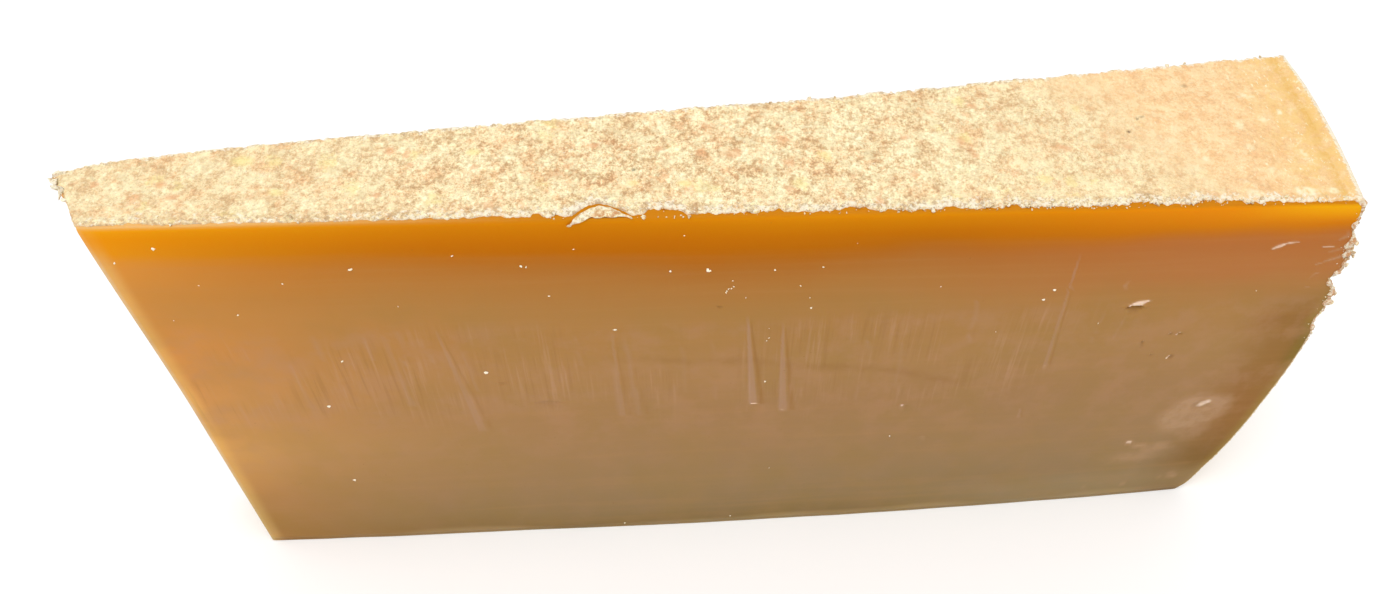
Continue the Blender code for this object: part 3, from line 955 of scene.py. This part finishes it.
class Finish:
    """A material in the making: its nodes, the light that it gets and its colour so far.

    Its methods take outputs and plain values alike. A tuple that starts with an output is
    between's arguments, and a colour of three numbers goes through shade."""

    def __init__(self, name, light=1.0):
        self.material = bpy.data.materials.new(name)
        self.material.use_nodes = True
        self.tree = self.material.node_tree
        self.surface = self.tree.nodes["Principled BSDF"]
        self.place = self.node("TexCoord").outputs["Object"]
        self.light = light
        self.colour = None

    def feed(self, node, inputs):
        """Gives a node's sockets their values, or the outputs that feed them."""
        for name, value in inputs.items():
            socket = node.inputs[name]
            if isinstance(value, tuple) and isinstance(value[0], bpy.types.NodeSocket):
                value = self.between(*value)
            if isinstance(value, bpy.types.NodeSocket):
                self.tree.links.new(value, socket)
            elif socket.type == "RGBA" and len(value) == 3:
                socket.default_value = shade(value, self.light)
            else:
                socket.default_value = value

    def node(self, kind, inputs=None, **settings):
        made = self.tree.nodes.new("ShaderNode" + kind)
        for name, value in settings.items():
            setattr(made, name, value)
        self.feed(made, inputs or {})
        return made

    def number(self, name):
        """A number that the mesh stores at each point."""
        return self.node("Attribute", attribute_name=name).outputs["Fac"]

    def between(self, value, low, high, to_low=0.0, to_high=1.0):
        """A smooth change from to_low to to_high while the value goes from low to high."""
        inputs = {"Value": value, "From Min": low, "From Max": high}
        inputs |= {"To Min": to_low, "To Max": to_high}
        return self.node("MapRange", inputs, interpolation_type="SMOOTHSTEP").outputs["Result"]

    def maths(self, operation, *values):
        """Two or more values joined by one operation, from left to right."""
        result = values[0]
        for value in values[1:]:
            result = self.node("Math", {0: result, 1: value}, operation=operation).outputs[0]
        return result

    def plus(self, *values):
        return self.maths("ADD", *values)

    def times(self, *values):
        return self.maths("MULTIPLY", *values)

    def larger(self, *values):
        return self.maths("MAXIMUM", *values)

    def moved(self, offset=(0, 0, 0), turn=(0, 0, 0), scale=(1, 1, 1), place=None):
        """The place, moved, turned and stretched for a texture of its own."""
        inputs = {"Vector": place or self.place, "Location": offset}
        inputs |= {"Rotation": turn, "Scale": scale}
        return self.node("Mapping", inputs).outputs[0]

    def speckle(self, size, detail=2.0, roughness=0.5, place=None):
        """Procedural noise with spots of one size, from 0 to 1."""
        inputs = {"Vector": place or self.place, "Scale": 1 / (size * MM)}
        inputs |= {"Detail": detail, "Roughness": roughness}
        return self.node("TexNoise", inputs).outputs["Fac"]

    def ramp(self, value, stops):
        """A colour that changes along a value by stops: position, colour."""
        made = self.node("ValToRGB", {0: value})
        elements = made.color_ramp.elements
        while len(elements) < len(stops):
            elements.new(0.5)
        for element, (position, colour) in zip(elements, stops):
            element.position, element.color = position, shade(colour, self.light)
        return made.outputs["Color"]

    def mixed(self, share, first, second, blend="MIX"):
        """Two colours mixed by a share from 0 to 1."""
        made = self.node("Mix", data_type="RGBA", blend_type=blend)
        self.feed(made, {0: share, 6: first, 7: second})
        return made.outputs[2]

    def tint(self, colour, *shares, blend="MIX"):
        """Mixes a colour into the finish by the product of its shares."""
        self.colour = self.mixed(self.times(*shares), self.colour, colour, blend)

    def bump(self, height, strength, depth):
        inputs = {"Height": height, "Strength": strength, "Distance": depth * MM}
        self.feed(self.surface, {"Normal": self.node("Bump", inputs).outputs["Normal"]})

    def finished(self, roughness, gloss, inner_light=0.0, radius=(1.0, 0.2, 0.1), depth=50.0):
        """The material with its colour, its gloss and the light that spreads inside it."""
        inputs = {"Base Color": self.colour, "Roughness": roughness, "Specular IOR Level": gloss}
        inputs |= {"Subsurface Weight": inner_light, "Subsurface Radius": radius}
        self.feed(self.surface, inputs | {"Subsurface Scale": depth * MM})
        return self.material


def paste_colour(finish):
    """The paste's colour without its marks. Returns how far below the rind each point counts."""
    tint, number, between = finish.tint, finish.number, finish.between
    below, from_tip, from_rim = number("under_rind"), number("from_tip"), number("from_rim")
    wander = (finish.speckle(30, 1), 0.25, 0.75, -1.2, 1.2)
    below = finish.plus(below, finish.times(wander, (below, 3, 12)))
    share = finish.times(below, 1 / HEIGHT)
    middle, tip = (
        finish.ramp(share, [(depth / HEIGHT, colour) for depth, colour in bands])
        for bands in (PASTE_BANDS, TIP_BANDS)
    )
    finish.colour = finish.mixed(finish.maths("POWER", 0.962, from_tip), middle, tip)

    # The painted glow of light through the tip's cut: a strip along it, and a thinner edge beside
    # it
    pale, under_band = between(below, 60, 92), between(below, 4, 13, 0.2, 1)
    tip_glow_colour = finish.mixed(pale, (231, 174, 96), (206, 164, 98))
    tint(tip_glow_colour, (from_tip, 0.5, 3.2, 0.95, 0), under_band)
    tip_edge_glow_colour = finish.mixed(pale, (228, 192, 144), (212, 180, 122))
    tint(tip_edge_glow_colour, (from_tip, 0.3, 0.9, 0.8, 0), under_band)
    # The band under the rind, partly a painted glow of light through the rind: deep orange at the
    # left, brighter towards the rim, then golden
    tint((192, 98, 0), (from_tip, 25, 55), (from_tip, 75, 112, 1, 0), (below, 7, 13, 0.24, 0))
    tint((240, 142, 10), (from_rim, 10, 85, 0.85, 0), (below, 1, 15, 1, 0))
    tint((246, 174, 6), (from_rim, 4, 28, 0.9, 0), (below, 1, 8, 1, 0))
    # The reddish zone below it
    tint((190, 112, 64), (below, 7.5, 13), (below, 20, 32, 1, 0), (from_rim, 20, 105, 0.5, 0))
    # Beside the rim: painted shade, an olive strip, a green stretch of it and a painted highlight
    # along the edge
    rim_shade_colour = finish.mixed((below, 66, 88), (150, 104, 53), (132, 96, 44))
    tint(rim_shade_colour, (from_rim, 4, 20, 0.95, 0), (below, 24, 36))
    tint((158, 130, 62), (from_rim, 0.3, 3.0, 0.6, 0), (below, 22, 34))
    tint((118, 98, 30), (below, 35, 42), (below, 48, 56, 1, 0), (from_rim, 0.6, 5.0, 0.6, 0))
    tint((206, 176, 124), (from_rim, 0.05, 0.6, 0.8, 0), (below, 40, 62))
    # Painted light on the foot, where the floor lights it
    tint((166, 146, 112), (below, 86, 95, 0, 0.4), (from_tip, 120, 170))
    return below


def ripple_shade_share(finish):
    """How dark the painted shade of the faint ripple that runs along the cut's middle is at each
    point.
    """
    plus, times, maths = finish.plus, finish.times, finish.maths
    parts = finish.node("SeparateXYZ", {0: finish.place}).outputs
    x = plus(times(parts[0], 1 / MM), -float(CORNER[0]))
    sagging = maths("POWER", finish.larger(plus(x, -115), 0), 2)
    wander = (finish.speckle(9), 0.3, 0.7, -71.5, -69.9)
    above = plus(times(parts[2], 1 / MM), times(x, 0.12), times(sagging, 0.0045), wander)
    broken = (finish.speckle(5, 3, 0.7), 0.4, 0.6, 0.4, 1)
    away = maths("ABSOLUTE", above, 0)
    return times((away, 0, 2.2, 0.3, 0), (x, 70, 86), (x, 136, 152, 1, 0), broken)


def paste_material():
    """Waxy cheese paste: orange under the rind, partly a painted glow, brown in the middle and
    olive at the foot.
    """
    finish = Finish("cheese_paste", FRONT_LIGHT)
    tint, speckle, number, times = finish.tint, finish.speckle, finish.number, finish.times
    below = paste_colour(finish)

    # Olive patches, milky patches and broad bands that a knife has brushed
    tint((158, 126, 66), (speckle(12, 3), 0.38, 0.72, 0, 0.22), (below, 14, 30))
    milky = speckle(8, 4, 0.6, finish.moved((0.3, 0.1, 0.7)))
    tint((186, 140, 106), (milky, 0.42, 0.66, 0, 0.3), (below, 26, 31), (below, 50, 80, 1, 0.3))
    brushed = speckle(2.2, 3, 0.6, finish.moved(scale=(0.04, 1, 1)))
    tint((192, 142, 88), (brushed, 0.45, 0.75, 0, 0.12), (below, 5, 14))
    # Fine upright scrapes, light and dark
    streaks = speckle(0.75, 3, 0.6, finish.moved(scale=(1, 1, 0.035)))
    scraped = times((below, 26, 33), (below, 44, 64, 1, 0), (speckle(14, 1), 0.38, 0.6))
    scraped = times(scraped, (number("from_rim"), 40, 60))
    tint((200, 156, 124), (streaks, 0.52, 0.70, 0, 0.32), scraped)
    tint((148, 104, 62), (streaks, 0.32, 0.46, 0.22, 0), scraped)
    # Painted shade along the faint ripple in the cut's middle
    tint((150, 106, 62), ripple_shade_share(finish))
    # Knife marks: painted shade beside them, and light inside, paler scraped paste with a painted
    # highlight along the left edge
    marked = number("marked")
    tint((156, 110, 58), (marked, -1, 0, 0.6, 0), (below, 20, 30))
    tint((184, 146, 120), finish.larger(times(marked, 0.7), 0))
    # Fat smears, pale streaks, painted highlights on smears, in eyes and at mark ends, the painted
    # shade in eyes, and specks
    haze = number("haze")
    haze_and_highlight_colour = finish.mixed((haze, 0.45, 0.95), (188, 148, 112), (255, 226, 202))
    tint(haze_and_highlight_colour, haze, (speckle(2.6, 3, 0.6), 0.3, 0.6, 0.6, 1))
    tint((120, 84, 40), number("dark"), 0.35)
    tint((126, 88, 44), (speckle(0.8, 1), 0.77, 0.82, 0, 0.25))
    # The flat top, where the rind has broken away from it
    ledge_ends = shade((242, 186, 114), TOP_LIGHT), shade((210, 132, 24), TOP_LIGHT)
    tint(finish.mixed((number("from_tip"), 10, 70), *ledge_ends), number("ledge"))
    finish.bump(finish.plus(times(streaks, 0.35), times(speckle(1.6, 4, 0.6), 0.6)), 0.25, 0.12)
    roughness = (speckle(6, 3), 0.3, 0.7, 0.36, 0.50)
    return finish.finished(roughness, 0.02, 0.15, (1.0, 0.42, 0.08), 2.5)


def spots(finish, size, channel, rare, place):
    """Soft, uneven spots that stand apart: 1 in each spot's middle. Few cells have a spot."""
    cells = finish.node("TexVoronoi", {"Vector": place, "Scale": 1 / (size * MM)}).outputs
    chance = finish.node("SeparateColor", {0: cells["Color"]}).outputs[channel]
    ragged = (finish.speckle(0.3 * size, 3, 0.6, place), 0.3, 0.7, -0.16, 0.16)
    reach = finish.plus(cells["Distance"], ragged)
    return finish.times((reach, 0.12, 0.46, 1, 0), finish.maths("GREATER_THAN", chance, rare))


def mottle(finish, size, broad, fine, colours, place=None):
    """Starts the colour as a mottle, with patches and grains as strong as asked."""
    patches = (finish.speckle(size, 6, 0.9, place), 0.385, 0.615, -0.5, 0.5)
    grain = finish.between(finish.speckle(0.18 * size, 4, 0.85, place), 0.36, 0.64, -1, 1)
    # Painted shade where the relief lies low and painted light where it stands high
    relief_light_and_shade = finish.times(finish.plus(finish.number("relief"), -0.5), 0.3)
    level = finish.plus(finish.times(patches, broad), finish.times(grain, fine, 0.6), relief_light_and_shade, 0.5)
    finish.colour = finish.ramp(level, list(zip(MOTTLE_LEVELS, colours)))
    finish.tint(finish.plus(finish.times(grain, fine, 0.42), 1.0), 1.0, blend="MULTIPLY")


def rough_rind_colour(finish):
    """The dry rind: a mottle of cream, yellow, pink and tan with fine grey-brown pepper."""
    tint, speckle, number, times = finish.tint, finish.speckle, finish.number, finish.times
    from_tip = number("from_tip")
    calmer = finish.between(from_tip, 110, 165, 1, 0.62)
    left = finish.between(from_tip, 95, 150, 1, 0.75)
    flat = finish.moved(scale=(1.12, 1, 1))
    broad = times((from_tip, 25, 90, 0.56, 0.76), calmer)
    fine = times((from_tip, 15, 60, 0.20, 0.34), calmer)
    mottle(finish, 4.5, broad, fine, ROUGH_COLOURS, flat)

    pink_place = finish.moved((0.13, 0.41, 0.2), place=flat)
    pink = (speckle(4.5, 4, 0.8, pink_place), 0.48, 0.60)
    tint((1.0, 0.88, 0.83, 1), pink, left, blend="MULTIPLY")
    cream_place = finish.moved((0.83, 0.21, 0.6), place=flat)
    tint((255, 244, 198), (speckle(3.2, 5, 0.8, cream_place), 0.53, 0.60, 0, 0.55))
    yellow = times(spots(finish, 4.2, 0, 0.84, finish.moved((0.31, 0.17, 0.07))), 0.5)
    tint((255, 238, 164), finish.larger(yellow, times(number("yellowed"), 0.7)))
    brown = times(spots(finish, 3.0, 1, 0.84, pink_place), left, 0.6)
    tint((240, 182, 134), finish.larger(brown, times(number("reddened"), 0.8)))
    pepper = (speckle(0.4, 3, 0.7, finish.moved((0.4, 0.9, 0.3))), 0.54, 0.68, 0, 0.6)
    tint((192, 164, 122), pepper, (speckle(5, 3, 0.6, cream_place), 0.4, 0.6, 1, 0.5), calmer)
    return finish.colour


def waxy_rind_colour(finish):
    """The rind beside the rim: soft apricot and salmon zones with pale patches and scuffs."""
    tint, speckle, moved, number = finish.tint, finish.speckle, finish.moved, finish.number
    from_tip = number("from_tip")
    mottle(finish, 3.6, 0.7, 0.14, WAXY_COLOURS)
    salmon = (speckle(3.6, 4, 0.8, moved((0.9, 0.5, 0.3))), 0.48, 0.58, 0, 0.9)
    tint((0.99, 0.93, 0.88, 1), salmon, blend="MULTIPLY")
    cream = (speckle(2.8, 5, 0.8, moved((0.5, 0.7, 0.1))), 0.51, 0.56, 0, 0.75)
    tint((254, 228, 178), cream, (from_tip, 180, 204, 1, 0.25))
    gold = (speckle(3.0, 4, 0.8, moved((0.3, 0.1, 0.9))), 0.42, 0.58, 0.25, 1)
    tint((248, 206, 126), (from_tip, 188, 205, 0, 0.75), gold)
    scuffs = speckle(0.9, 4, 0.7, moved((0.2, 0.6, 0.3), (0, 0, 0.9), (1.0, 0.65, 1.0)))
    scuffs = finish.times((scuffs, 0.60, 0.68, 0, 0.9), (from_tip, 182, 196, 0.35, 1))
    tint((255, 246, 204), finish.larger(scuffs, number("scuffed")))
    return finish.colour


def rind_material():
    """Dry, granular rind that turns waxy beside the rim, with whitish broken edges."""
    finish = Finish("cheese_rind", TOP_LIGHT)
    tint, speckle, number, times = finish.tint, finish.speckle, finish.number, finish.times
    waxy, edge = number("waxy"), number("edge")
    finish.colour = finish.mixed(waxy, rough_rind_colour(finish), waxy_rind_colour(finish))
    # Painted shade in the rind's creases
    tint((206, 166, 118), number("creases"), 0.3)
    tint((234, 182, 92), (speckle(1.4, 4, 0.8), 0.42, 0.58, 0.35, 0.9), number("rim_line"))
    # The broken edges and the painted highlight on the corner over the rim: whitish grains, painted
    # shade in the troughs between them and brown torn bits
    grain = speckle(0.7, 4, 0.7)
    lump = finish.plus(edge, times(grain, 2), times(number("relief"), 0.7))
    tint((255, 245, 220), (lump, 1.62, 1.98, 0, 0.95))
    trough_shade = (speckle(0.8, 4, 0.75, finish.moved((0.6, 0.2, 0.8))), 0.51, 0.58, 0, 0.75)
    tint((200, 170, 132), trough_shade, (edge, 0.05, 0.35), (waxy, 0, 1, 1, 0.2))
    tint((206, 146, 96), number("rim_edge"), (grain, 0.42, 0.60, 0.9, 0))
    tint((86, 58, 36), number("dotted"))
    finish.bump(speckle(0.3, 3, 0.7), 0.4, 0.1)
    return finish.finished((waxy, 0, 1, 0.82, 0.5), 0.1, 0.1, (1.0, 0.6, 0.25), 0.8)


def crystal_material():
    """Pale, slightly glassy crystals."""
    finish = Finish("cheese_crystal")
    finish.colour = finish.mixed(finish.speckle(0.3), (250, 222, 176), (255, 250, 236))
    return finish.finished(0.3, 0.5, 0.3, (1.0, 0.7, 0.4), 0.4)


def floor_material():
    """Matt, nearly white."""
    finish = Finish("floor")
    finish.colour = (0.92, 0.92, 0.92, 1)
    return finish.finished(0.9, 0.0)


# --- Stage, light and camera ---

CAMERA_PLACE = (86.63, -127.64, 237.58)  # and its turns, in degrees
CAMERA_PITCH = 50.556
CAMERA_AZIMUTH = 13.704
CAMERA_ROLL = 8.911
CAMERA_LENS = 29.81
CAMERA_SHIFT = -0.1071

# In metres, in the frame
LAMP_PLACE, LAMP_AIM = Vector((-0.15, -0.4, 1.35)), Vector((0.0, 0.0, 0.04))
LAMP_SIZE, LAMP_POWER = 0.9, 11


def add_camera():
    """The camera at the photograph's viewpoint, looking down on the front face."""
    data = bpy.data.cameras.new("camera")
    data.lens = CAMERA_LENS
    data.sensor_width = 36.0
    data.shift_x = CAMERA_SHIFT
    data.clip_start = 0.01
    camera = bpy.data.objects.new("camera", data)
    camera.matrix_world = Matrix.Translation(Vector((np.array(CAMERA_PLACE) + CORNER) * MM))
    for axis, degrees in (("Z", -CAMERA_AZIMUTH), ("X", 90 - CAMERA_PITCH), ("Z", CAMERA_ROLL)):
        camera.matrix_world @= Matrix.Rotation(math.radians(degrees), 4, axis)
    bpy.context.scene.collection.objects.link(camera)
    bpy.context.scene.camera = camera


def add_lamp():
    """A large soft lamp above, turned towards the wedge."""
    data = bpy.data.lights.new("key", "AREA")
    data.size = LAMP_SIZE
    data.energy = LAMP_POWER
    lamp = bpy.data.objects.new("key", data)
    lamp.location = LAMP_PLACE
    lamp.rotation_euler = (LAMP_AIM - LAMP_PLACE).to_track_quat("-Z", "Y").to_euler()
    bpy.context.scene.collection.objects.link(lamp)


def add_stage():
    """A plain white floor, soft surrounding light and the lamp."""
    bpy.ops.mesh.primitive_plane_add(size=6.0)
    floor = bpy.context.object
    floor.name = "floor"
    floor.data.materials.append(floor_material())
    world = bpy.data.worlds.new("world")
    world.use_nodes = True
    background = world.node_tree.nodes["Background"]
    background.inputs["Color"].default_value = (1, 1, 1, 1)
    background.inputs["Strength"].default_value = 0.8
    bpy.context.scene.world = world
    add_lamp()
    bpy.context.scene.view_settings.view_transform = "Standard"


# --- The scene ---

paste = build_paste(paste_material())
rind_finish = rind_material()
pieces = [paste, *build_rind(rind_finish), build_flake(rind_finish), build_crumbs(rind_finish)]
pieces.append(build_crystals(crystal_material()))
for piece in pieces:
    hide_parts("cheese_wedge")
add_stage()
add_camera()
